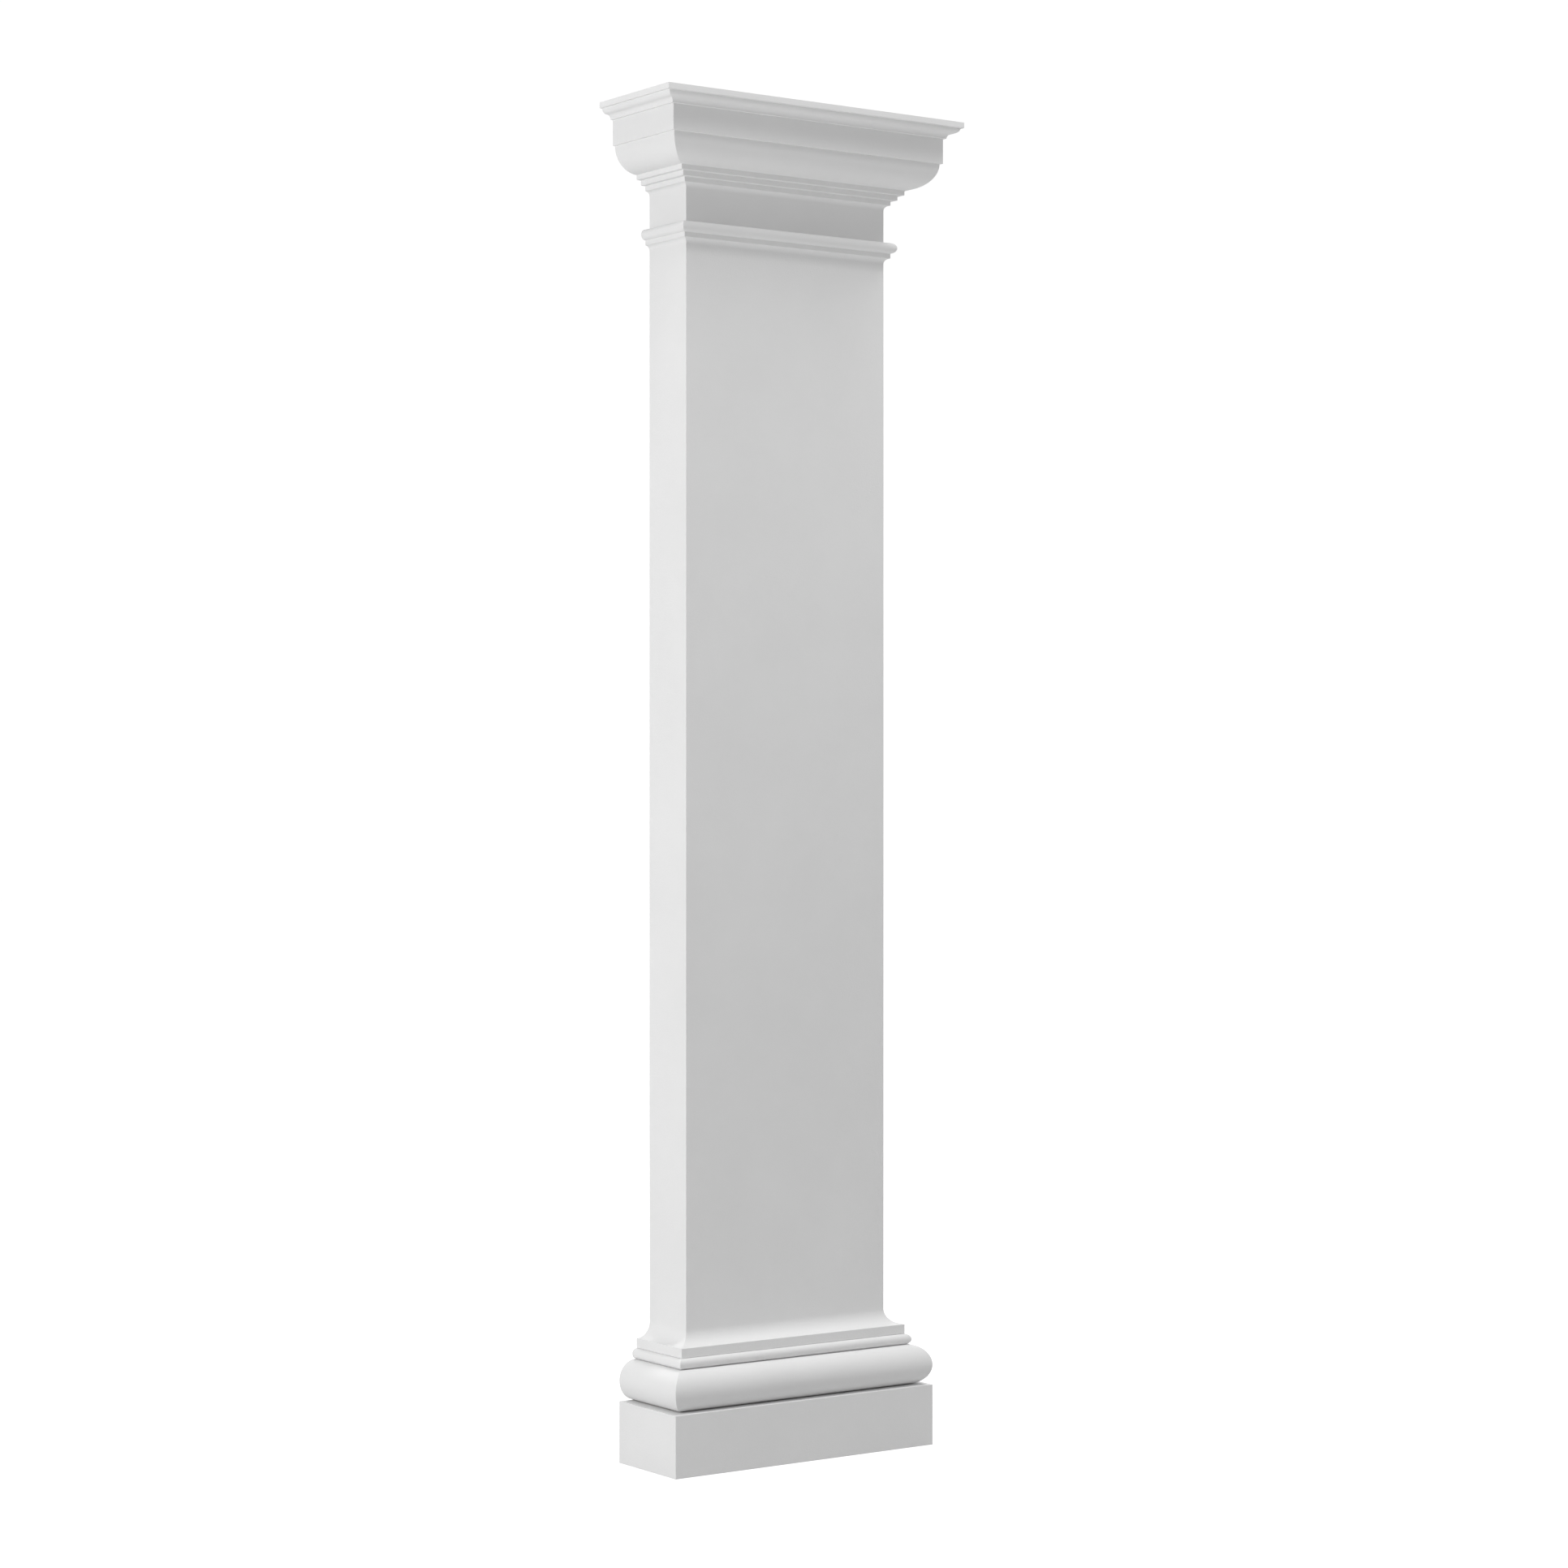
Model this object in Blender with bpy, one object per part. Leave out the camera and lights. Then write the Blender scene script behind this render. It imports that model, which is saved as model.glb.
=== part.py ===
"""A plain pilaster of the Roman Doric kind, 2.5 m high, in metres with +Z up.

Four pieces stand on each other with their flat backs in one plane, the wall's: the plinth, the base moulding,
the shaft and the capital. Each is one profile, drawn from its underside to its top, that runs from the wall
round the left side, the front and the right side with mitred corners.

A projection is how far a face stands out from the plain face of the shaft, the same on all three sides.
The origin is on the floor, in the middle of the whole pilaster's width and depth. The front looks along -Y.
"""
import math

import bmesh
import bpy

# The shaft
SHAFT_WIDTH = 0.450
SHAFT_DEPTH = 0.1225        # from the wall to the plain front face
SHAFT_HEIGHT = 2.0702       # from the underside of its foot fillet to the top of its astragal

# The plinth
PLINTH_HEIGHT = 0.1140
PLINTH_PROJECTION = 0.0665

# The base moulding: its torus is flush with the plinth
TORUS_HEIGHT = 0.0747
TORUS_DEPTH = 0.0346
BEAD_HEIGHT = 0.0196
BEAD_DEPTH = 0.0095         # out from the foot fillet above it

# The foot of the shaft
FOOT_FILLET_HEIGHT = 0.0177
FOOT_FILLET_PROJECTION = 0.0287
FOOT_CURVE_HEIGHT = 0.0288

# The head of the shaft
HEAD_HOLLOW_HEIGHT = 0.0103
HEAD_FILLET_HEIGHT = 0.0093
HEAD_FILLET_PROJECTION = 0.0094
ASTRAGAL_HEIGHT = 0.0199
ASTRAGAL_DEPTH = 0.0095     # out from the head fillet below it

# The capital
NECKING_HEIGHT = 0.0616
NECKING_HOLLOW_HEIGHT = 0.0094
ANNULET_COUNT = 3
ANNULET_HEIGHT = 0.0093
ANNULET_STEP = 0.0095
OVOLO_HEIGHT = 0.0485
OVOLO_DEPTH = 0.0475        # out from the last annulet
OVOLO_SET_BACK = 0.0024     # how far its level end lies behind the last annulet's face
ABACUS_HEIGHT = 0.0473
ABACUS_OVERHANG = 0.0046    # out from the top of the ovolo
CYMA_LIP = 0.0047           # out from the abacus, the cyma's thin lower edge
CYMA_HOLLOW_HEIGHT = 0.0091
CYMA_HOLLOW_DEPTH = 0.0083
CYMA_ROUND_HEIGHT = 0.0098
CYMA_ROUND_DEPTH = 0.0106
CROWN_HEIGHT = 0.0110
CROWN_STEP = 0.0051         # out from the top of the cyma

# Fits and facets
JOINT = 0.0003              # the open joint between two pieces
FACET = 0.0022              # length of one flat on a curved moulding
FEWEST_FACETS = 6
SMOOTH_ANGLE = math.radians(22.0)

# Worked out from the sizes above
OVOLO_PROJECTION = ANNULET_COUNT * ANNULET_STEP + OVOLO_DEPTH
ABACUS_PROJECTION = OVOLO_PROJECTION + ABACUS_OVERHANG
CYMA_PROJECTION = ABACUS_PROJECTION + CYMA_LIP + CYMA_HOLLOW_DEPTH + CYMA_ROUND_DEPTH
CROWN_PROJECTION = CYMA_PROJECTION + CROWN_STEP
BASE_MOULDING_LEVEL = PLINTH_HEIGHT + JOINT
SHAFT_LEVEL = BASE_MOULDING_LEVEL + TORUS_HEIGHT + BEAD_HEIGHT + JOINT
CAPITAL_LEVEL = SHAFT_LEVEL + SHAFT_HEIGHT + JOINT
WALL_Y = (SHAFT_DEPTH + max(CROWN_PROJECTION, PLINTH_PROJECTION)) / 2


class Profile:
    """A moulding's outline, drawn upwards as a chain of (projection, height) points."""

    def __init__(self, projection):
        self.points = [(projection, 0.0)]

    def rise(self, height):
        """An upright flat face."""
        projection, level = self.points[-1]
        self.points.append((projection, level + height))

    def step_to(self, projection):
        """A level ledge out or in to another projection."""
        self.points.append((projection, self.points[-1][1]))

    def facets(self, width, height):
        """Number of flats on a quarter round of this width and height."""
        length = math.pi / 2 * math.hypot(width, height) / math.sqrt(2)
        return max(FEWEST_FACETS, math.ceil(length / FACET))

    def quarter_from_level(self, depth, height):
        """A quarter ellipse that leaves level and arrives upright, by the sine and cosine of its angle."""
        projection, level = self.points[-1]
        count = self.facets(depth, height)
        for index in range(1, count + 1):
            angle = math.pi / 2 * index / count
            self.points.append((projection + depth * math.sin(angle), level + height * (1 - math.cos(angle))))

    def quarter_from_upright(self, depth, height):
        """A quarter ellipse that leaves upright and arrives level, by the cosine and sine of its angle."""
        projection, level = self.points[-1]
        count = self.facets(depth, height)
        for index in range(1, count + 1):
            angle = math.pi / 2 * index / count
            self.points.append((projection + depth * (1 - math.cos(angle)), level + height * math.sin(angle)))

    def ovolo(self, depth, height, set_back):
        """A quarter ellipse whose level end lies set back behind the face below.

        It leaves that face at the angle whose sine is the set-back over the whole depth, so it rises a little
        from the start, and arrives upright.
        """
        projection, level = self.points[-1]
        whole_depth = depth + set_back
        first = math.asin(set_back / whole_depth)
        count = self.facets(depth, height)
        for index in range(1, count + 1):
            angle = first + (math.pi / 2 - first) * index / count
            rise = height * (1 - math.cos(angle) / math.cos(first))
            self.points.append((projection - set_back + whole_depth * math.sin(angle), level + rise))

    def half_round(self, depth, height):
        """A half round that swells out by its depth and comes back."""
        self.quarter_from_level(depth, height / 2)
        self.quarter_from_upright(-depth, height / 2)


def white_paint(name, colour, roughness):
    """Matt white paint on smooth plaster."""
    material = bpy.data.materials.new(name)
    material.use_nodes = True
    shader = material.node_tree.nodes["Principled BSDF"]
    shader.inputs["Base Color"].default_value = (*colour, 1.0)
    shader.inputs["Roughness"].default_value = roughness
    shader.inputs["Metallic"].default_value = 0.0
    material.diffuse_color = (*colour, 1.0)
    return material


def run_round_three_sides(name, profile, level, material, pilaster):
    """Carries a profile from the wall round the left, front and right sides and closes it flat at the wall.

    The four stations are the profile at the wall on the left, at the two mitres and at the wall on the right.
    """
    mesh = bmesh.new()
    half_width = SHAFT_WIDTH / 2
    stations = []
    for side, stands_at_wall in ((-1, True), (-1, False), (1, False), (1, True)):
        station = []
        for projection, height in profile.points:
            depth = 0.0 if stands_at_wall else SHAFT_DEPTH + projection
            station.append(mesh.verts.new((side * (half_width + projection), -depth, height)))
        stations.append(station)
    for station, following in zip(stations, stations[1:]):
        for index in range(len(station) - 1):
            mesh.faces.new((station[index], following[index], following[index + 1], station[index + 1]))
    underside = [station[0] for station in stations]
    top = [station[-1] for station in stations]
    mesh.faces.new(reversed(underside))
    mesh.faces.new(top)
    mesh.faces.new(stations[0] + stations[-1][::-1])
    bmesh.ops.recalc_face_normals(mesh, faces=mesh.faces)

    data = bpy.data.meshes.new(name)
    mesh.to_mesh(data)
    mesh.free()
    data.shade_smooth()
    data.set_sharp_from_angle(angle=SMOOTH_ANGLE)
    data.materials.append(material)
    piece = bpy.data.objects.new(name, data)
    piece.location.z = level
    piece.parent = pilaster
    bpy.context.collection.objects.link(piece)
    return piece


def plinth_profile():
    """A plain block."""
    profile = Profile(PLINTH_PROJECTION)
    profile.rise(PLINTH_HEIGHT)
    return profile


def base_moulding_profile():
    """A torus flush with the plinth, and a bead on it that swells out from the foot fillet's face."""
    profile = Profile(PLINTH_PROJECTION - TORUS_DEPTH)
    profile.half_round(TORUS_DEPTH, TORUS_HEIGHT)
    profile.step_to(FOOT_FILLET_PROJECTION)
    profile.half_round(BEAD_DEPTH, BEAD_HEIGHT)
    return profile


def shaft_profile():
    """The foot fillet and its curve, the plain shaft, the small hollow, the head fillet and the astragal."""
    plain_height = SHAFT_HEIGHT - (FOOT_FILLET_HEIGHT + FOOT_CURVE_HEIGHT + HEAD_HOLLOW_HEIGHT
                                   + HEAD_FILLET_HEIGHT + ASTRAGAL_HEIGHT)
    profile = Profile(FOOT_FILLET_PROJECTION)
    profile.rise(FOOT_FILLET_HEIGHT)
    profile.quarter_from_level(-FOOT_FILLET_PROJECTION, FOOT_CURVE_HEIGHT)
    profile.rise(plain_height)
    profile.quarter_from_upright(HEAD_FILLET_PROJECTION, HEAD_HOLLOW_HEIGHT)
    profile.rise(HEAD_FILLET_HEIGHT)
    profile.half_round(ASTRAGAL_DEPTH, ASTRAGAL_HEIGHT)
    return profile


def capital_profile():
    """The necking, its small hollow, the annulets, the ovolo, the abacus, and the crown's cyma and fillet."""
    profile = Profile(0.0)
    profile.rise(NECKING_HEIGHT)
    profile.quarter_from_upright(ANNULET_STEP, NECKING_HOLLOW_HEIGHT)
    profile.rise(ANNULET_HEIGHT)
    for number in range(2, ANNULET_COUNT + 1):
        profile.step_to(number * ANNULET_STEP)
        profile.rise(ANNULET_HEIGHT)
    profile.ovolo(OVOLO_DEPTH, OVOLO_HEIGHT, OVOLO_SET_BACK)
    profile.step_to(ABACUS_PROJECTION)
    profile.rise(ABACUS_HEIGHT)
    profile.step_to(ABACUS_PROJECTION + CYMA_LIP)
    profile.quarter_from_upright(CYMA_HOLLOW_DEPTH, CYMA_HOLLOW_HEIGHT)
    profile.quarter_from_level(CYMA_ROUND_DEPTH, CYMA_ROUND_HEIGHT)
    profile.step_to(CROWN_PROJECTION)
    profile.rise(CROWN_HEIGHT)
    return profile


def build():
    for old in list(bpy.data.objects):
        bpy.data.objects.remove(old, do_unlink=True)
    pilaster = bpy.data.objects.new("pilaster", None)
    pilaster.location.y = WALL_Y
    bpy.context.collection.objects.link(pilaster)

    plinth_paint = white_paint("plinth_paint", (0.78, 0.78, 0.78), 0.72)
    base_paint = white_paint("base_moulding_paint", (0.79, 0.79, 0.79), 0.68)
    shaft_paint = white_paint("shaft_paint", (0.80, 0.80, 0.80), 0.70)
    capital_paint = white_paint("capital_paint", (0.79, 0.79, 0.79), 0.68)

    run_round_three_sides("plinth", plinth_profile(), 0.0, plinth_paint, pilaster)
    run_round_three_sides("base_moulding", base_moulding_profile(), BASE_MOULDING_LEVEL, base_paint, pilaster)
    run_round_three_sides("shaft", shaft_profile(), SHAFT_LEVEL, shaft_paint, pilaster)
    run_round_three_sides("capital", capital_profile(), CAPITAL_LEVEL, capital_paint, pilaster)


build()
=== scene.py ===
"""The looks of a white plaster pilaster: its four pieces in painted plaster, and a plain pale studio.

Every piece follows the outline of its solid in the packed frame. It is drawn again as a fine surface,
because a cast and painted moulding has soft arrises and is never dead flat. Its finish comes from node
materials.
"""
import math

import bpy
import numpy as np
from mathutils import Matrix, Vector


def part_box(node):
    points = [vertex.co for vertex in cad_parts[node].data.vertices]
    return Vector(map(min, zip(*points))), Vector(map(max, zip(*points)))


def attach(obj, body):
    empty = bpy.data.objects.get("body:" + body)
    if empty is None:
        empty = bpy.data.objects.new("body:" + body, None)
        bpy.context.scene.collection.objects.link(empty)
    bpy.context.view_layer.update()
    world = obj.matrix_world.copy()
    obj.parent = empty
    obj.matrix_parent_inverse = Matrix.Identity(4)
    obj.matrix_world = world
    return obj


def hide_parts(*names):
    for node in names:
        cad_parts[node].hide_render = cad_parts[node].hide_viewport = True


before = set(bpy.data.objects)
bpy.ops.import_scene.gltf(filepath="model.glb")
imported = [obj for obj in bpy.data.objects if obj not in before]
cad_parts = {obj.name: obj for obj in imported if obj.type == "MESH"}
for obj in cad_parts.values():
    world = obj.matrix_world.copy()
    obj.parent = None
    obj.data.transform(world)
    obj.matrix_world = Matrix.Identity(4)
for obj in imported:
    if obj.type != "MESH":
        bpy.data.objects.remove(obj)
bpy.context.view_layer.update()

bl_info = {
    "name": "White plaster pilaster",
    "version": (1, 0, 0),
    "blender": (4, 5, 0),
    "location": "3D View > Sidebar > Pilaster",
    "description": "Dresses a Roman Doric pilaster in painted plaster and sets up a pale studio",
    "category": "Add Mesh",
}

MM = 0.001

# Places that the frame gives: the plane of the wall and the height of the top
WALL_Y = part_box("shaft")[1].y
PILASTER_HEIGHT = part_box("capital")[1].z

# The rows of points up an outline
SAME_PLACE = 0.01 * MM              # two points nearer than this are one
WALK_STEP = 0.1 * MM                # of the even walk on which the outline is softened
BELL_REACH = 4                      # how many spreads the bell curve is drawn out to either side
NARROWEST_ROW = 0.12 * MM
WIDEST_ROW = 24 * MM
TURN_PER_ROW = math.radians(6.0)
ROW_GROWTH = 0.35                   # how much wider a row may be for each length further from a turn

# The stations round the plan, each count with both its ends
SIDE_STATIONS = 17
FRONT_STATIONS = 45
ARRIS_STATIONS = 9

# The slow wave's sines: how high each is, how many times it swings over one wave length along x, y and z,
# and its phase
SINES = ((1.0, (0.93, 0.31, 0.21), 0.4),
         (1.0, (-0.28, 0.88, 0.47), 2.1),
         (1.0, (0.19, -0.36, 0.71), 4.4),
         (0.5, (1.87, 0.55, -1.23), 1.3),
         (0.5, (-1.41, 1.16, 1.52), 5.6))

# The two finishes of a piece, as material slots of its mesh
PAINTED = 0
RAW = 1
SHARP_ANGLE = math.radians(32)      # faces that meet at more than this are shaded apart

# Where the four square lamps stand: bearing clockwise from straight behind and angle up, in degrees
SIDE_LAMP_PLACE = (-96, 3)
RIGHT_LAMP_PLACE = (120, 65)
LEFT_LAMP_PLACE = (-140, 65)
BACK_LAMP_PLACE = (18, 25)

# The low lamp lies in front of the pilaster, just above the floor, and shines straight up
LOW_LAMP_PLACE = (-0.1, -0.9, 0.02)
LOW_LAMP_AIM = (-0.1, -0.9, 1.0)

FLOOR_CELLS = 10                    # along each side of the floor
SENSOR_WIDTH = 36.0                 # in millimetres, as Blender's cameras have it


# Shapes

def wall_outline(node_name):
    """The outline of a solid where it meets the wall on the left, from its underside to its top.

    A triangle of the left side that touches the wall has two corners there. Where these two differ in height
    they are one rising stretch of the outline. Sorted by height and set end to end, the stretches give the
    whole outline, and a level ledge is the jump between two of them. Returns rows of (distance from the
    middle, height).
    """
    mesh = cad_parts[node_name].data
    points = np.empty(len(mesh.vertices) * 3)
    mesh.vertices.foreach_get("co", points)
    corners = np.empty(len(mesh.loops), np.int32)
    mesh.loops.foreach_get("vertex_index", corners)
    triangles = points.reshape(-1, 3)[corners].reshape(-1, 3, 3)
    on_wall = (np.abs(triangles[:, :, 1] - WALL_Y) < SAME_PLACE) & (triangles[:, :, 0] < 0)
    touching = (on_wall.sum(1) == 2) & (triangles[:, :, 1].min(1) < WALL_Y - SAME_PLACE)
    ends = triangles[touching][on_wall[touching]].reshape(-1, 2, 3)[:, :, [0, 2]]
    rising = np.abs(ends[:, 0, 1] - ends[:, 1, 1]) > SAME_PLACE
    ends = ends[rising]
    upside_down = ends[:, 0, 1] > ends[:, 1, 1]
    ends[upside_down] = ends[upside_down, ::-1]
    chain = ends[np.argsort(ends[:, :, 1].mean(1))].reshape(-1, 2)
    moved = np.linalg.norm(np.diff(chain, axis=0), axis=1) > SAME_PLACE
    chain = chain[np.concatenate([[True], moved])]
    return np.stack([-chain[:, 0], chain[:, 1]], 1)


def way_along(steps):
    """How far along a walk each point lies: nothing at the first, then the sum of the steps so far."""
    return np.concatenate([[0.0], np.cumsum(steps)])


def row_spacing(soft, walked):
    """How wide the row at each step of a softened outline may be.

    The smallest of three limits holds: the length in which the outline turns by the turn per row, the first
    limit at any other step plus the growth times the way from there, and the widest row. Where all of them
    allow more than the narrowest row, that smallest is the width, and otherwise the narrowest row is.
    """
    along = np.diff(soft, axis=0)
    heading = np.unwrap(np.arctan2(along[:, 1], along[:, 0]))
    turning = np.concatenate([[0.0], np.abs(np.diff(heading)), [0.0]])
    needed = turning / np.maximum(np.gradient(walked), WALK_STEP / 2) / TURN_PER_ROW
    spacing = 1.0 / np.maximum(needed, 1.0 / WIDEST_ROW)
    grown = ROW_GROWTH * walked
    from_below = np.minimum.accumulate(spacing - grown) + grown
    from_above = np.minimum.accumulate((spacing + grown)[::-1])[::-1] - grown
    return np.clip(np.minimum(from_below, from_above), NARROWEST_ROW, WIDEST_ROW)


def soft_outline(outline, softness, seat, rims):
    """The outline with every arris and inner corner softened, and a level seat added at both ends.

    The outline is walked in even steps and each coordinate is averaged under a bell curve whose spread is
    the softness. A straight stretch stays as it is, and a corner becomes a small round of about 1.3 times
    the softness. The steps are then thinned out to rows: close together where the outline turns, and wider
    apart the further they are from a turn. One more row lies on each seat where its painted rim ends.
    Returns the rows, how far along the walk they are, and which of them are the two ends of the paint.
    """
    inward = np.array([seat, 0.0])
    path = np.concatenate([outline[:1] - inward, outline, outline[-1:] - inward])
    walked = way_along(np.linalg.norm(np.diff(path, axis=0), axis=1))
    even = np.linspace(0.0, walked[-1], int(walked[-1] / WALK_STEP) + 1)
    dense = np.stack([np.interp(even, walked, path[:, axis]) for axis in (0, 1)], 1)

    reach = int(BELL_REACH * softness / WALK_STEP)
    offsets = np.arange(-reach, reach + 1) * WALK_STEP
    bell = np.exp(-0.5 * (offsets / softness) ** 2)
    bell /= bell.sum()
    inner = np.stack([np.convolve(dense[:, axis], bell, "valid") for axis in (0, 1)], 1)
    soft = np.concatenate([dense[:1], inner, dense[-1:]])

    walked = way_along(np.linalg.norm(np.diff(soft, axis=0), axis=1))
    rows = way_along(np.diff(walked) / row_spacing(soft, walked)[1:])
    wanted = np.linspace(0.0, rows[-1], int(math.ceil(rows[-1])) + 1)
    paint_ends = [seat - rims[0], walked[-1] - seat + rims[1]]
    at = np.sort(np.append(np.interp(wanted, rows, walked), paint_ends))
    outline = np.stack([np.interp(at, walked, soft[:, axis]) for axis in (0, 1)], 1)
    return outline, at, np.searchsorted(at, paint_ends)


def plan_stations():
    """The way round the pilaster in plan, from the wall on the left to the wall on the right.

    Each station holds four numbers. The first two say what share of the half width and of the depth its
    centre stands at, and the last two point from there to the surface, one arris radius long. Along a side
    and along the front the share goes as one less the cosine of an even angle, which crowds the stations
    towards the arrises, and at an arris the pointer turns by a quarter in even steps.
    """
    side = (1 - np.cos(np.linspace(0, math.pi, SIDE_STATIONS))) / 2
    front = 1 - np.cos(np.linspace(0, math.pi, FRONT_STATIONS))
    turn = np.linspace(0, math.pi / 2, ARRIS_STATIONS)[1:-1]
    ones = np.ones_like
    zeros = np.zeros_like
    left = np.stack([-ones(side), side, -ones(side), zeros(side)])
    left_arris = np.stack([-ones(turn), ones(turn), -np.cos(turn), -np.sin(turn)])
    middle = np.stack([front - 1, ones(front), zeros(front), -ones(front)])
    right_arris = np.stack([ones(turn), ones(turn), np.sin(turn), -np.cos(turn)])
    right = np.stack([ones(side), side[::-1], ones(side), zeros(side)])
    return np.concatenate([left, left_arris, middle, right_arris, right], 1)


def slow_wave(x, y, z, length):
    """A slow, uneven wave between 0 and 1: the sum of five sines that cross at odd angles.

    Three are about as long as the length given, and two are less than half as long and half as high.
    """
    turns = 2 * math.pi / length
    highest = sum(height for height, direction, phase in SINES)
    waves = sum(height * np.sin(turns * (direction[0] * x + direction[1] * y + direction[2] * z) + phase)
                for height, direction, phase in SINES)
    return 0.5 + waves / (2 * highest)


def grid(rows, columns):
    """Numbers the points of a grid row by row, and joins each square of four neighbours into one face."""
    index = np.arange(rows * columns).reshape(rows, columns)
    quads = np.stack([index[:-1, :-1], index[:-1, 1:], index[1:, 1:], index[1:, :-1]], 2)
    return index, quads.reshape(-1, 4)


def painted_rims(solid_outline, node_above, shapes):
    """How far the paint runs in over the lower and the upper seat.

    It runs over an arris by the paint's return. Where another piece stands on the upper seat and leaves a
    wider ledge, the paint covers that ledge too, as far as a brush reaches.
    """
    upper = shapes.paint_return
    if node_above:
        ledge = solid_outline[-1, 0] - wall_outline(node_above)[0, 0]
        upper = min(max(ledge, shapes.paint_return), shapes.brush_reach)
    return shapes.paint_return, upper


def add_run_map(mesh, run, walked):
    """A UV map in metres: the run round the plan goes across it, and the walk up the outline goes up it."""
    vertex_uv = np.stack(np.broadcast_arrays(run[None, :], walked[:, None]), 2).reshape(-1, 2)
    corners = np.empty(len(mesh.loops), np.int32)
    mesh.loops.foreach_get("vertex_index", corners)
    layer = mesh.uv_layers.new(name="run_and_rise")
    layer.uv.foreach_set("vector", vertex_uv[corners].astype(np.float32).ravel())


def moulding_mesh(name, node_name, node_above, shapes):
    """A piece's surface: its softened outline carried round three sides, closed by two seats and its back.

    A moulding projects as far in front as at the sides, so a row's depth is its half width less one
    constant, and the node's box gives it. A point is the station's share of the half width and depth, less
    the arris radius, plus the arris radius along the station's own direction. A slow wave then takes a
    little off the projection, so the faces aren't dead flat and nothing stands outside the solid.
    """
    lowest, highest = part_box(node_name)
    full_half_width, full_depth = highest.x, highest.y - lowest.y
    solid_outline = wall_outline(node_name)
    rims = painted_rims(solid_outline, node_above, shapes)
    outline, walked, paint_ends = soft_outline(solid_outline, shapes.arris_softness, shapes.seat_width, rims)
    stations = plan_stations()
    half_width = outline[:, :1]
    depth = half_width - full_half_width + full_depth
    height = np.repeat(outline[:, 1:], stations.shape[1], 1)
    across, back, out_x, out_y = (row[None, :] for row in stations)
    radius = shapes.arris_radius

    def plan(trim):
        x = across * (half_width - trim - radius) + radius * out_x
        y = WALL_Y - back * (depth - trim - radius) + radius * out_y
        return x, y

    x, y = plan(0.0)
    x, y = plan(shapes.wave_depth * slow_wave(x, y, height, shapes.wave_length))
    points = np.stack([x, y, height], 2).reshape(-1, 3)

    index, quads = grid(*height.shape)
    underside = index[0, ::-1].tolist()
    top = index[-1].tolist()
    wall = index[:, 0].tolist() + index[::-1, -1].tolist()
    mesh = bpy.data.meshes.new(name)
    mesh.from_pydata(points.tolist(), [], quads.tolist() + [underside, top, wall])
    run = way_along(np.hypot(np.diff(across[0] * full_half_width), np.diff(back[0] * full_depth)))
    add_run_map(mesh, run, walked)

    # All is raw plaster but for the rows between the two ends of the paint
    finish = np.full(len(mesh.polygons), RAW, np.int32)
    faces_per_row = len(run) - 1
    finish[paint_ends[0] * faces_per_row:paint_ends[1] * faces_per_row] = PAINTED
    mesh.polygons.foreach_set("material_index", finish)
    mesh.shade_smooth()
    mesh.set_sharp_from_angle(angle=SHARP_ANGLE)
    mesh.update()
    return mesh


# Materials

def linear(hex_colour):
    """A colour written as sRGB hex, as linear red, green, blue and alpha, by the sRGB curve."""
    values = [int(hex_colour[start:start + 2], 16) / 255 for start in (1, 3, 5)]
    curve = [value / 12.92 if value <= 0.04045 else ((value + 0.055) / 1.055) ** 2.4 for value in values]
    return (*curve, 1.0)


def add_node(tree, kind, inputs=None, **settings):
    """Adds a node, sets its properties, and sets or links its inputs by name or number."""
    node = tree.nodes.new(kind)
    for name, value in settings.items():
        setattr(node, name, value)
    for name, value in (inputs or {}).items():
        if isinstance(value, bpy.types.NodeSocket):
            tree.links.new(value, node.inputs[name])
        else:
            node.inputs[name].default_value = value
    return node


def new_material(name):
    """An empty node material with its output, and the principled shader that feeds it."""
    material = bpy.data.materials.new(name)
    material.use_nodes = True
    tree = material.node_tree
    tree.nodes.clear()
    shader = add_node(tree, "ShaderNodeBsdfPrincipled")
    add_node(tree, "ShaderNodeOutputMaterial", {"Surface": shader.outputs["BSDF"]})
    return material, tree, shader


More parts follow.
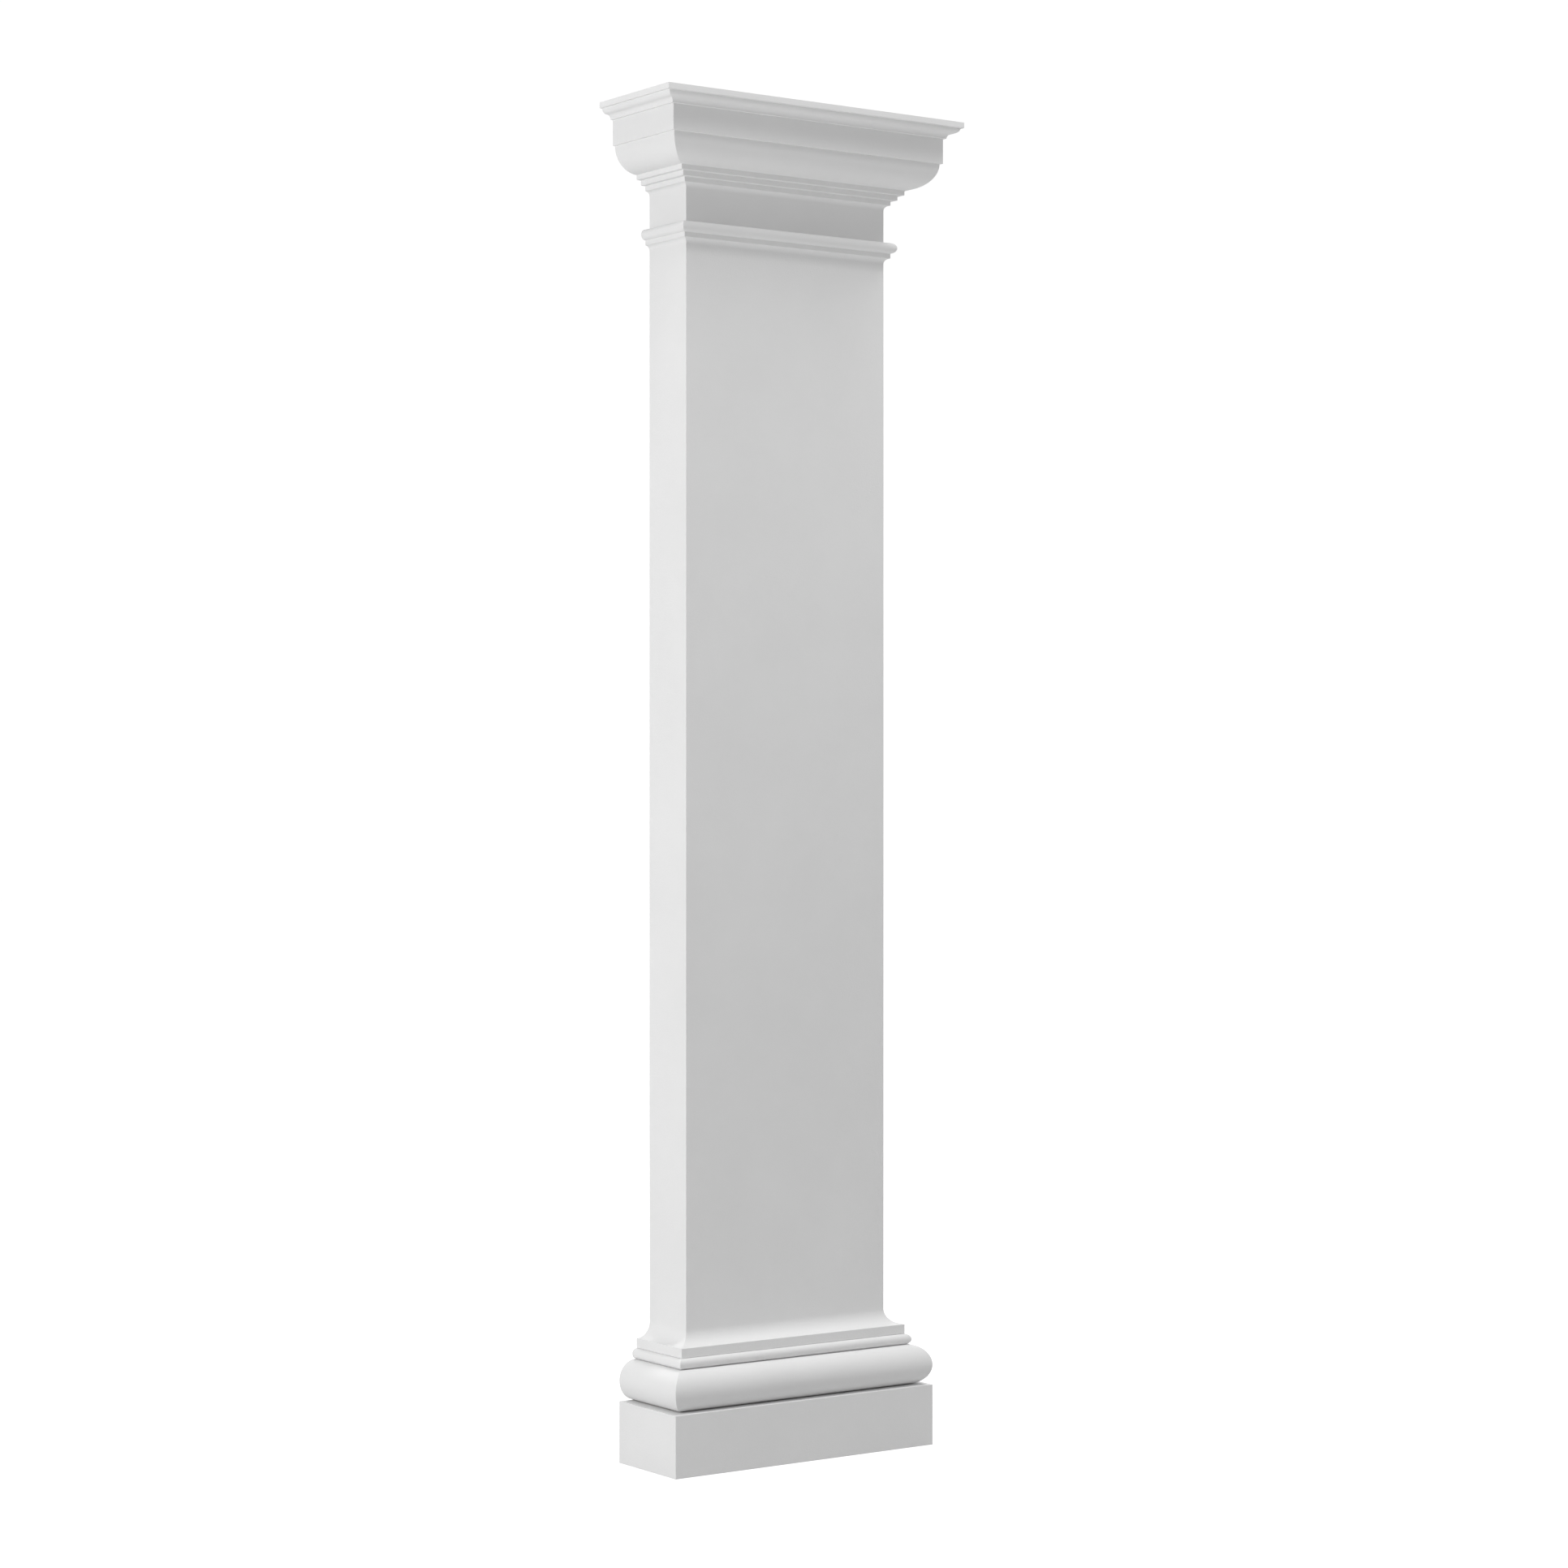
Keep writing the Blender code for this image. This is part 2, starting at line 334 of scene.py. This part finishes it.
def painted_plaster(name, paint, brushed):
    """Matt emulsion paint on smooth cast plaster: acrylic, IOR about 1.47, rough 0.7.

    Rolled paint dries with a fine tooth, and brushed paint with bristle marks along the run of a moulding.
    Under both, the plaster swells and sinks slowly, and the coat covers a little unevenly. This gives the
    eye a soft, chalky white without gloss whose tone drifts by about one part in a hundred. A real tooth is
    about 1 mm wide and a real bristle mark 0.5 mm, and both are drawn three to four times as coarse so that
    they show.
    """
    # The cover's noise seldom goes past these two values
    thin = 0.3
    full = 0.7
    material, tree, shader = new_material(name)
    place = add_node(tree, "ShaderNodeTexCoord")
    centred = add_node(tree, "ShaderNodeMapping", {
        "Vector": place.outputs["Object"], "Location": (0.0, 0.0, -PILASTER_HEIGHT / 2)})
    cover = add_node(tree, "ShaderNodeTexNoise", {
        "Vector": centred.outputs["Vector"], "Scale": 1 / paint.cover_patch,
        "Detail": 4.0, "Roughness": 0.55})
    tone = add_node(tree, "ShaderNodeValToRGB", {"Fac": cover.outputs["Fac"]})
    tone.color_ramp.elements[0].position = thin
    tone.color_ramp.elements[1].position = full
    tone.color_ramp.elements[0].color = paint.thin_coat
    tone.color_ramp.elements[1].color = paint.full_coat
    tree.links.new(tone.outputs["Color"], shader.inputs["Base Color"])

    sheen_patch = add_node(tree, "ShaderNodeMapRange", {
        "Value": cover.outputs["Fac"], "From Min": thin, "From Max": full,
        "To Min": paint.roughness - paint.roughness_drift,
        "To Max": paint.roughness + paint.roughness_drift})
    tree.links.new(sheen_patch.outputs["Result"], shader.inputs["Roughness"])
    shader.inputs["IOR"].default_value = paint.ior

    if brushed:
        run = add_node(tree, "ShaderNodeMapping", {
            "Vector": place.outputs["UV"], "Scale": (1 / paint.bristle_length, 1 / paint.bristle_width, 1)})
        grain = add_node(tree, "ShaderNodeTexNoise", {
            "Vector": run.outputs["Vector"], "Scale": 1.0, "Detail": 3.0, "Roughness": 0.6})
        grain_height = paint.bristle_height
    else:
        grain = add_node(tree, "ShaderNodeTexNoise", {
            "Vector": centred.outputs["Vector"], "Scale": 1 / paint.stipple,
            "Detail": 2.0, "Roughness": 0.5})
        grain_height = paint.stipple_height
    swell = add_node(tree, "ShaderNodeTexNoise", {
        "Vector": centred.outputs["Vector"], "Scale": 1 / paint.swell, "Detail": 1.0})
    slow = add_node(tree, "ShaderNodeBump", {
        "Height": swell.outputs["Fac"], "Distance": paint.swell_height, "Strength": 1.0})
    fine = add_node(tree, "ShaderNodeBump", {
        "Height": grain.outputs["Fac"], "Distance": grain_height, "Strength": 1.0,
        "Normal": slow.outputs["Normal"]})
    tree.links.new(fine.outputs["Normal"], shader.inputs["Normal"])
    return material


def raw_plaster(name, plaster):
    """Bare cast plaster as it left the mould, struck off with a trowel: gypsum, IOR about 1.52, rough 0.9.

    The trowel sweeps in shallow arcs and closes the surface where it presses, grains of sand drag behind it,
    and air bubbles leave small pits, whose floors are darkened in colour as painted shade. This gives the
    eye a dull, greyer surface on the back and the seats.
    """
    material, tree, shader = new_material(name)
    place = add_node(tree, "ShaderNodeTexCoord")
    centred = add_node(tree, "ShaderNodeMapping", {
        "Vector": place.outputs["Object"], "Location": (0.0, -WALL_Y, -PILASTER_HEIGHT / 2)})
    bend = add_node(tree, "ShaderNodeTexNoise", {
        "Vector": centred.outputs["Vector"], "Scale": 1 / plaster.sweep, "Detail": 0.0})
    bent = add_node(tree, "ShaderNodeVectorMath", {
        0: bend.outputs["Color"], 1: (plaster.sweep_bend,) * 3, 2: centred.outputs["Vector"]},
        operation="MULTIPLY_ADD")
    along = add_node(tree, "ShaderNodeMapping", {
        "Vector": bent.outputs["Vector"], "Rotation": (0.0, plaster.stroke_slant, 0.0),
        "Scale": (1 / plaster.stroke_length, 1 / plaster.stroke_width, 1 / plaster.stroke_width)})
    strokes = add_node(tree, "ShaderNodeTexNoise", {
        "Vector": along.outputs["Vector"], "Scale": 1.0, "Detail": 3.0, "Roughness": 0.55})
    sand = add_node(tree, "ShaderNodeTexNoise", {
        "Vector": centred.outputs["Vector"], "Scale": 1 / plaster.sand_size, "Detail": 2.0})
    bubbles = add_node(tree, "ShaderNodeTexVoronoi", {
        "Vector": centred.outputs["Vector"], "Scale": 1 / plaster.air_hole_spacing, "Randomness": 1.0})
    pit = add_node(tree, "ShaderNodeMapRange", {
        "Value": bubbles.outputs["Distance"], "From Min": plaster.air_hole_floor,
        "From Max": plaster.air_hole_rim, "To Min": 0.0, "To Max": 1.0})

    tone = add_node(tree, "ShaderNodeValToRGB", {"Fac": strokes.outputs["Fac"]})
    tone.color_ramp.elements[0].position = 0.25
    tone.color_ramp.elements[1].position = 0.75
    tone.color_ramp.elements[0].color = plaster.closed
    tone.color_ramp.elements[1].color = plaster.dry
    # Painted shade: the colour is darkened towards the floor of each air hole, where shade falls
    pit_painted_shade = add_node(tree, "ShaderNodeMapRange", {
        "Value": pit.outputs["Result"], "To Min": plaster.air_hole_painted_shade, "To Max": 1.0})
    colour = add_node(tree, "ShaderNodeVectorMath", {
        0: tone.outputs["Color"], "Scale": pit_painted_shade.outputs["Result"]}, operation="SCALE")
    tree.links.new(colour.outputs["Vector"], shader.inputs["Base Color"])
    shader.inputs["Roughness"].default_value = plaster.roughness
    shader.inputs["IOR"].default_value = plaster.ior

    drag = add_node(tree, "ShaderNodeBump", {
        "Height": strokes.outputs["Fac"], "Distance": plaster.stroke_height, "Strength": 1.0})
    grit = add_node(tree, "ShaderNodeBump", {
        "Height": sand.outputs["Fac"], "Distance": plaster.sand_height, "Strength": 1.0,
        "Normal": drag.outputs["Normal"]})
    pits = add_node(tree, "ShaderNodeBump", {
        "Height": pit.outputs["Result"], "Distance": plaster.air_hole_depth, "Strength": 1.0,
        "Normal": grit.outputs["Normal"]})
    tree.links.new(pits.outputs["Normal"], shader.inputs["Normal"])
    return material


def opal_acrylic_floor(name, studio):
    """A light table's opal acrylic sheet, lit from below: matt, pale, and all but burnt out in the picture.

    It gives the eye a white ground with only a faint shadow at the foot, and soft light on the undersides.
    """
    material, tree, shader = new_material(name)
    place = add_node(tree, "ShaderNodeTexCoord")
    cloud = add_node(tree, "ShaderNodeTexNoise", {
        "Vector": place.outputs["Object"], "Scale": 1 / studio.floor_patch, "Detail": 2.0})
    tone = add_node(tree, "ShaderNodeValToRGB", {"Fac": cloud.outputs["Fac"]})
    tone.color_ramp.elements[0].color = studio.floor_dark
    tone.color_ramp.elements[1].color = studio.floor_light
    tree.links.new(tone.outputs["Color"], shader.inputs["Base Color"])
    shader.inputs["Roughness"].default_value = 0.9
    shader.inputs["Specular IOR Level"].default_value = 0.1
    shader.inputs["Emission Color"].default_value = (1.0, 1.0, 1.0, 1.0)
    ray = add_node(tree, "ShaderNodeLightPath")
    glow = add_node(tree, "ShaderNodeMapRange", {
        "Value": ray.outputs["Is Camera Ray"], "To Min": studio.floor_glow, "To Max": studio.floor_shine})
    tree.links.new(glow.outputs["Result"], shader.inputs["Emission Strength"])
    return material


# Settings

class PilasterShapes(bpy.types.PropertyGroup):
    """Sizes of the softened surfaces."""
    arris_softness: bpy.props.FloatProperty(
        name="Arris softness", description="How far a coat of paint blunts a level arris",
        default=0.35 * MM, unit="LENGTH", subtype="DISTANCE")
    arris_radius: bpy.props.FloatProperty(
        name="Arris radius", description="Radius of the two upright front arrises",
        default=0.6 * MM, unit="LENGTH", subtype="DISTANCE")
    seat_width: bpy.props.FloatProperty(
        name="Seat width", description="Width of the level seats that are drawn as rows",
        default=40 * MM, unit="LENGTH", subtype="DISTANCE")
    paint_return: bpy.props.FloatProperty(
        name="Paint return", description="How far the paint runs over an arris onto a seat",
        default=2 * MM, unit="LENGTH", subtype="DISTANCE")
    brush_reach: bpy.props.FloatProperty(
        name="Brush reach", description="How far a brush reaches in under the piece above",
        default=24 * MM, unit="LENGTH", subtype="DISTANCE")
    wave_depth: bpy.props.FloatProperty(
        name="Wave depth", description="How far the faces swell and sink",
        default=0.15 * MM, unit="LENGTH", subtype="DISTANCE")
    wave_length: bpy.props.FloatProperty(
        name="Wave length", description="Length of that swell",
        default=340 * MM, unit="LENGTH", subtype="DISTANCE")


class PilasterPaint(bpy.types.PropertyGroup):
    """Colours and grain of the paint."""
    full_coat: bpy.props.FloatVectorProperty(
        name="Full coat", description="Colour where the paint covers well",
        default=linear("#E6E6E6"), size=4, min=0.0, max=1.0, subtype="COLOR")
    thin_coat: bpy.props.FloatVectorProperty(
        name="Thin coat", description="Colour where the paint covers thinly",
        default=linear("#E3E3E3"), size=4, min=0.0, max=1.0, subtype="COLOR")
    roughness: bpy.props.FloatProperty(
        name="Roughness", description="Mean roughness of the dry paint",
        default=0.70, min=0.0, max=1.0, subtype="FACTOR")
    roughness_drift: bpy.props.FloatProperty(
        name="Roughness drift", description="How far the roughness drifts up and down with the coat",
        default=0.04, min=0.0, max=1.0, subtype="FACTOR")
    ior: bpy.props.FloatProperty(
        name="IOR", description="Index of refraction of dry acrylic paint", default=1.47, min=1.0)
    cover_patch: bpy.props.FloatProperty(
        name="Cover patch", description="Size of the patches where the coat is thinner",
        default=180 * MM, unit="LENGTH", subtype="DISTANCE")
    stipple: bpy.props.FloatProperty(
        name="Stipple", description="Size of the tooth that a roller leaves",
        default=3 * MM, unit="LENGTH", subtype="DISTANCE")
    stipple_height: bpy.props.FloatProperty(
        name="Stipple height", description="Height of that tooth",
        default=0.25 * MM, unit="LENGTH", subtype="DISTANCE")
    bristle_width: bpy.props.FloatProperty(
        name="Bristle width", description="Distance between bristle marks",
        default=1.8 * MM, unit="LENGTH", subtype="DISTANCE")
    bristle_length: bpy.props.FloatProperty(
        name="Bristle length", description="Length of a bristle mark",
        default=90 * MM, unit="LENGTH", subtype="DISTANCE")
    bristle_height: bpy.props.FloatProperty(
        name="Bristle height", description="Height of a bristle mark",
        default=0.06 * MM, unit="LENGTH", subtype="DISTANCE")
    swell: bpy.props.FloatProperty(
        name="Swell", description="Length of the plaster's slow unevenness",
        default=60 * MM, unit="LENGTH", subtype="DISTANCE")
    swell_height: bpy.props.FloatProperty(
        name="Swell height", description="Height of the plaster's slow unevenness",
        default=0.10 * MM, unit="LENGTH", subtype="DISTANCE")


class PilasterRawPlaster(bpy.types.PropertyGroup):
    """Colours and texture of the unpainted back and seats."""
    dry: bpy.props.FloatVectorProperty(
        name="Dry", description="Colour of dry bare plaster",
        default=linear("#D5D4D2"), size=4, min=0.0, max=1.0, subtype="COLOR")
    closed: bpy.props.FloatVectorProperty(
        name="Closed", description="Colour where the trowel closed the surface",
        default=linear("#C6C5C3"), size=4, min=0.0, max=1.0, subtype="COLOR")
    roughness: bpy.props.FloatProperty(
        name="Roughness", description="Roughness of bare plaster",
        default=0.9, min=0.0, max=1.0, subtype="FACTOR")
    ior: bpy.props.FloatProperty(
        name="IOR", description="Index of refraction of gypsum", default=1.52, min=1.0)
    sweep: bpy.props.FloatProperty(
        name="Sweep", description="Length over which the trowel's way bends",
        default=450 * MM, unit="LENGTH", subtype="DISTANCE")
    sweep_bend: bpy.props.FloatProperty(
        name="Sweep bend", description="How far the trowel's way bends",
        default=260 * MM, unit="LENGTH", subtype="DISTANCE")
    stroke_slant: bpy.props.FloatProperty(
        name="Stroke slant", description="How far the trowel's strokes slant from the level",
        default=0.35, unit="ROTATION", subtype="ANGLE")
    stroke_length: bpy.props.FloatProperty(
        name="Stroke length", description="Length of a trowel stroke",
        default=190 * MM, unit="LENGTH", subtype="DISTANCE")
    stroke_width: bpy.props.FloatProperty(
        name="Stroke width", description="Width of the ridges in a trowel stroke",
        default=26 * MM, unit="LENGTH", subtype="DISTANCE")
    stroke_height: bpy.props.FloatProperty(
        name="Stroke height", description="Height of those ridges",
        default=0.5 * MM, unit="LENGTH", subtype="DISTANCE")
    sand_size: bpy.props.FloatProperty(
        name="Sand size", description="Size of the plaster's grain",
        default=2.5 * MM, unit="LENGTH", subtype="DISTANCE")
    sand_height: bpy.props.FloatProperty(
        name="Sand height", description="Height of the plaster's grain",
        default=0.06 * MM, unit="LENGTH", subtype="DISTANCE")
    air_hole_spacing: bpy.props.FloatProperty(
        name="Air hole spacing", description="Mean distance between air holes",
        default=28 * MM, unit="LENGTH", subtype="DISTANCE")
    air_hole_rim: bpy.props.FloatProperty(
        name="Air hole rim", description="Radius of an air hole at its rim, as a share of the spacing",
        default=0.11, min=0.0, max=1.0, subtype="FACTOR")
    air_hole_floor: bpy.props.FloatProperty(
        name="Air hole floor", description="Radius of an air hole at its floor, as a share of the spacing",
        default=0.05, min=0.0, max=1.0, subtype="FACTOR")
    air_hole_depth: bpy.props.FloatProperty(
        name="Air hole depth", description="Depth of an air hole",
        default=0.8 * MM, unit="LENGTH", subtype="DISTANCE")
    # Painted shade: the colour at the floor of an air hole is scaled down to this share
    air_hole_painted_shade: bpy.props.FloatProperty(
        name="Air hole shade", description="How light the floor of an air hole is beside the face round it",
        default=0.55, min=0.0, max=1.0, subtype="FACTOR")


class PilasterStudio(bpy.types.PropertyGroup):
    """Camera, floor and light."""
    camera_bearing: bpy.props.FloatProperty(
        name="Camera bearing", description="How far the level camera looks to the right of straight ahead",
        default=math.radians(35.09), unit="ROTATION", subtype="ANGLE")
    camera_place: bpy.props.FloatVectorProperty(
        name="Camera place", description="Where the camera stands, at half the pilaster's height",
        default=(-3.7520, -5.3381, 1.2519), unit="LENGTH", subtype="TRANSLATION")
    camera_lens: bpy.props.FloatProperty(
        name="Lens", description="Focal length on a sensor 36 mm wide", default=80.34, unit="CAMERA")
    floor_light: bpy.props.FloatVectorProperty(
        name="Floor light", description="Colour of the floor where it is lightest",
        default=linear("#A9A9A9"), size=4, min=0.0, max=1.0, subtype="COLOR")
    floor_dark: bpy.props.FloatVectorProperty(
        name="Floor dark", description="Colour of the floor where it is darkest",
        default=linear("#A3A3A3"), size=4, min=0.0, max=1.0, subtype="COLOR")
    floor_patch: bpy.props.FloatProperty(
        name="Floor patch", description="Size of the patches of either colour",
        default=2 / 3, unit="LENGTH", subtype="DISTANCE")
    floor_glow: bpy.props.FloatProperty(
        name="Floor glow", description="Brightness of the floor by itself, as the pilaster is lit by it",
        default=0.17, min=0.0)
    floor_shine: bpy.props.FloatProperty(
        name="Floor shine", description="Brightness of the floor by itself in the picture",
        default=0.86, min=0.0)
    floor_size: bpy.props.FloatProperty(
        name="Floor size", description="Width and depth of the floor", default=60.0,
        unit="LENGTH", subtype="DISTANCE")
    floor_gap: bpy.props.FloatProperty(
        name="Floor gap", description="How far the floor lies under the pilaster's foot",
        default=0.2 * MM, unit="LENGTH", subtype="DISTANCE")
    sky_light: bpy.props.FloatProperty(
        name="Sky light", description="Brightness of the white studio, as the pilaster is lit by it",
        default=0.485, min=0.0)
    sky_shine: bpy.props.FloatProperty(
        name="Sky shine", description="Brightness of the white studio in the picture",
        default=1.02, min=0.0)
    lamp_distance: bpy.props.FloatProperty(
        name="Lamp distance", description="From each square lamp to the pilaster's middle",
        default=5.0, unit="LENGTH", subtype="DISTANCE")
    lamp_size: bpy.props.FloatProperty(
        name="Lamp size", description="Width and height of each square lamp",
        default=1.6, unit="LENGTH", subtype="DISTANCE")
    side_power: bpy.props.FloatProperty(
        name="Side power", description="Lamp at the left, half way up", default=112.0, unit="POWER")
    right_power: bpy.props.FloatProperty(
        name="Right power", description="Lamp high up in front, at the right", default=116.0, unit="POWER")
    left_power: bpy.props.FloatProperty(
        name="Left power", description="Lamp high up in front, at the left", default=42.0, unit="POWER")
    back_power: bpy.props.FloatProperty(
        name="Back power", description="Lamp behind, for the back and the right side",
        default=80.0, unit="POWER")
    low_power: bpy.props.FloatProperty(
        name="Low power", description="Lamp on the floor in front, that shines straight up",
        default=2.6, unit="POWER")
    low_width: bpy.props.FloatProperty(
        name="Low width", description="Width of the low lamp",
        default=2.0, unit="LENGTH", subtype="DISTANCE")
    low_depth: bpy.props.FloatProperty(
        name="Low depth", description="Depth of the low lamp",
        default=0.8, unit="LENGTH", subtype="DISTANCE")
    low_spread: bpy.props.FloatProperty(
        name="Low spread", description="Angle of the low lamp's beam",
        default=math.radians(70), unit="ROTATION", subtype="ANGLE")


# Pieces

def dress(context, piece_name, node_name, brushed, node_above=None):
    """Makes a piece's surface, gives it its two finishes, and lets it stand for its solid."""
    scene = context.scene
    mesh = moulding_mesh(piece_name, node_name, node_above, scene.pilaster_shapes)
    way = "brushed" if brushed else "rolled"
    mesh.materials.append(painted_plaster(f"{piece_name}_{way}_matt_paint", scene.pilaster_paint, brushed))
    mesh.materials.append(raw_plaster(f"{piece_name}_raw_cast_plaster", scene.pilaster_raw_plaster))
    piece = bpy.data.objects.new(piece_name, mesh)
    scene.collection.objects.link(piece)
    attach(piece, "root")
    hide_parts(node_name)


class PILASTER_OT_plinth(bpy.types.Operator):
    """Make the plinth: a plain block with soft arrises, in rolled paint"""
    bl_idname = "pilaster.plinth"
    bl_label = "Plinth"

    def execute(self, context):
        dress(context, "painted_plinth", "plinth", brushed=False,
              node_above="base_moulding")
        return {"FINISHED"}


class PILASTER_OT_base_moulding(bpy.types.Operator):
    """Make the base moulding: the torus and the bead, in paint brushed along their run"""
    bl_idname = "pilaster.base_moulding"
    bl_label = "Base moulding"

    def execute(self, context):
        dress(context, "painted_base_moulding", "base_moulding", brushed=True,
              node_above="shaft")
        return {"FINISHED"}


class PILASTER_OT_shaft(bpy.types.Operator):
    """Make the shaft with its foot and head mouldings, in rolled paint"""
    bl_idname = "pilaster.shaft"
    bl_label = "Shaft"

    def execute(self, context):
        dress(context, "painted_shaft", "shaft", brushed=False, node_above="capital")
        return {"FINISHED"}


class PILASTER_OT_capital(bpy.types.Operator):
    """Make the capital from its necking to its crown, in paint brushed along its run"""
    bl_idname = "pilaster.capital"
    bl_label = "Capital"

    def execute(self, context):
        dress(context, "painted_capital", "capital", brushed=True)
        return {"FINISHED"}


# Stage

def floor_mesh(name, size, cells, level):
    """A flat grid: the same level at every pair of even steps across and along."""
    even = np.linspace(-size / 2, size / 2, cells + 1)
    x, y = np.meshgrid(even, even)
    points = np.stack([x, y, np.full_like(x, level)], 2).reshape(-1, 3)
    index, quads = grid(*x.shape)
    mesh = bpy.data.meshes.new(name)
    mesh.from_pydata(points.tolist(), [], quads.tolist())
    return mesh


def studio_world(scene, studio):
    """A plain white studio all round, even from every side, and white in the picture."""
    world = bpy.data.worlds.new("white_studio")
    world.use_nodes = True
    tree = world.node_tree
    tree.nodes.clear()
    ray = add_node(tree, "ShaderNodeLightPath")
    strength = add_node(tree, "ShaderNodeMapRange", {
        "Value": ray.outputs["Is Camera Ray"], "To Min": studio.sky_light, "To Max": studio.sky_shine})
    light = add_node(tree, "ShaderNodeBackground", {
        "Color": (1.0, 1.0, 1.0, 1.0), "Strength": strength.outputs["Result"]})
    add_node(tree, "ShaderNodeOutputWorld", {"Surface": light.outputs["Background"]})
    scene.world = world


def soft_lamp(scene, name, place, toward, width, depth, power, spread=math.pi):
    """A flat soft lamp at a place, shining toward a point, that the camera doesn't see."""
    data = bpy.data.lights.new(name, "AREA")
    data.shape = "RECTANGLE"
    data.size = width
    data.size_y = depth
    data.energy = power
    data.spread = spread
    lamp = bpy.data.objects.new(name, data)
    lamp.location = place
    lamp.rotation_euler = (Vector(toward) - Vector(place)).to_track_quat("-Z", "Y").to_euler()
    lamp.visible_camera = False
    scene.collection.objects.link(lamp)


def square_lamp(scene, name, studio, place, power):
    """A square soft lamp on a sphere round the pilaster's middle, at its bearing and angle up."""
    bearing, elevation = (math.radians(angle) for angle in place)
    level = math.cos(elevation)
    outward = Vector((math.sin(bearing) * level, math.cos(bearing) * level, math.sin(elevation)))
    middle = Vector((0.0, 0.0, PILASTER_HEIGHT / 2))
    soft_lamp(scene, name, middle + outward * studio.lamp_distance, middle,
              studio.lamp_size, studio.lamp_size, power)


def level_camera(scene, studio):
    """The camera at the photo's place: level, and turned to its bearing."""
    data = bpy.data.cameras.new("camera")
    data.lens = studio.camera_lens
    data.sensor_width = SENSOR_WIDTH
    camera = bpy.data.objects.new("camera", data)
    camera.location = studio.camera_place
    camera.rotation_euler = (math.pi / 2, 0.0, -studio.camera_bearing)
    scene.collection.objects.link(camera)
    scene.camera = camera


class PILASTER_OT_stage(bpy.types.Operator):
    """Set the pale floor, the soft light and the camera"""
    bl_idname = "pilaster.stage"
    bl_label = "Stage"

    def execute(self, context):
        scene = context.scene
        studio = scene.pilaster_studio
        mesh = floor_mesh("floor", studio.floor_size, FLOOR_CELLS, -studio.floor_gap)
        mesh.materials.append(opal_acrylic_floor("opal_acrylic", studio))
        floor = bpy.data.objects.new("floor", mesh)
        scene.collection.objects.link(floor)
        studio_world(scene, studio)
        square_lamp(scene, "side_lamp", studio, SIDE_LAMP_PLACE, studio.side_power)
        square_lamp(scene, "right_lamp", studio, RIGHT_LAMP_PLACE, studio.right_power)
        square_lamp(scene, "left_lamp", studio, LEFT_LAMP_PLACE, studio.left_power)
        square_lamp(scene, "back_lamp", studio, BACK_LAMP_PLACE, studio.back_power)
        soft_lamp(scene, "low_lamp", LOW_LAMP_PLACE, LOW_LAMP_AIM, studio.low_width, studio.low_depth,
                  studio.low_power, studio.low_spread)
        level_camera(scene, studio)
        scene.view_settings.view_transform = "Standard"
        return {"FINISHED"}


OPERATORS = (PILASTER_OT_plinth, PILASTER_OT_base_moulding, PILASTER_OT_shaft, PILASTER_OT_capital,
             PILASTER_OT_stage)
SETTINGS = (("pilaster_shapes", PilasterShapes), ("pilaster_paint", PilasterPaint),
            ("pilaster_raw_plaster", PilasterRawPlaster), ("pilaster_studio", PilasterStudio))


class PILASTER_PT_panel(bpy.types.Panel):
    """Pieces, sizes and colours of the pilaster"""
    bl_idname = "PILASTER_PT_panel"
    bl_label = "Pilaster"
    bl_space_type = "VIEW_3D"
    bl_region_type = "UI"
    bl_category = "Pilaster"

    def draw(self, context):
        layout = self.layout
        for operator in OPERATORS:
            layout.operator(operator.bl_idname)
        for name, group in SETTINGS:
            box = layout.box()
            box.label(text=group.__doc__)
            for setting in group.__annotations__:
                box.prop(getattr(context.scene, name), setting)


def register():
    for name, group in SETTINGS:
        bpy.utils.register_class(group)
        setattr(bpy.types.Scene, name, bpy.props.PointerProperty(type=group))
    for operator in OPERATORS:
        bpy.utils.register_class(operator)
    bpy.utils.register_class(PILASTER_PT_panel)


def unregister():
    bpy.utils.unregister_class(PILASTER_PT_panel)
    for operator in reversed(OPERATORS):
        bpy.utils.unregister_class(operator)
    for name, group in reversed(SETTINGS):
        delattr(bpy.types.Scene, name)
        bpy.utils.unregister_class(group)


def main():
    register()
    bpy.ops.pilaster.plinth()
    bpy.ops.pilaster.base_moulding()
    bpy.ops.pilaster.shaft()
    bpy.ops.pilaster.capital()
    bpy.ops.pilaster.stage()


if __name__ == "__main__":
    main()
